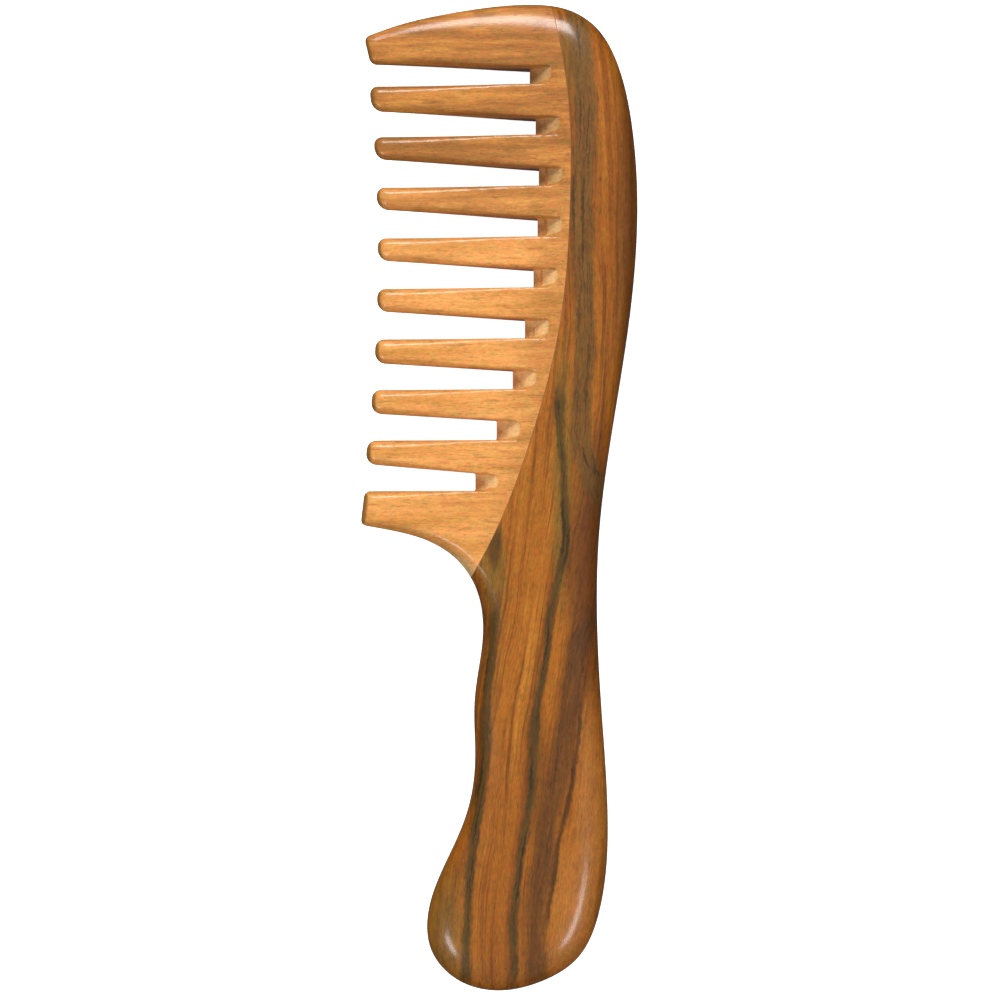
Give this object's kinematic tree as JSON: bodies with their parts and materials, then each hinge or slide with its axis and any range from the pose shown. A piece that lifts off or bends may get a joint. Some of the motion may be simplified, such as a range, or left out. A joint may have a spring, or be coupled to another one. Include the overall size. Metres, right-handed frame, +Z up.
{
  "type": "wide tooth comb",
  "caption": "Wooden comb with widely spaced tapered teeth, a rounded spine and a curved handle, made of a light and a dark timber glued edge to edge.",
  "frame": {"origin": "under the middle of the comb, on the surface that it lies on with its back down", "axes": "+Y along the handle towards the head, +Z up out of the front face, teeth pointing to -X and the spine to +X"},
  "size_m": [0.0562, 0.2, 0.012],
  "materials": {
    "dark_timber": "hand-sanded and waxed, satin",
    "light_timber": "hand-sanded and waxed, satin",
    "wood_glue": "dried wood glue, sanded flush"
  },
  "bodies": {
    "root": {"handle_spine": "dark_timber", "tooth_board": "light_timber", "glue_line": "wood_glue"}
  },
  "joints": []
}
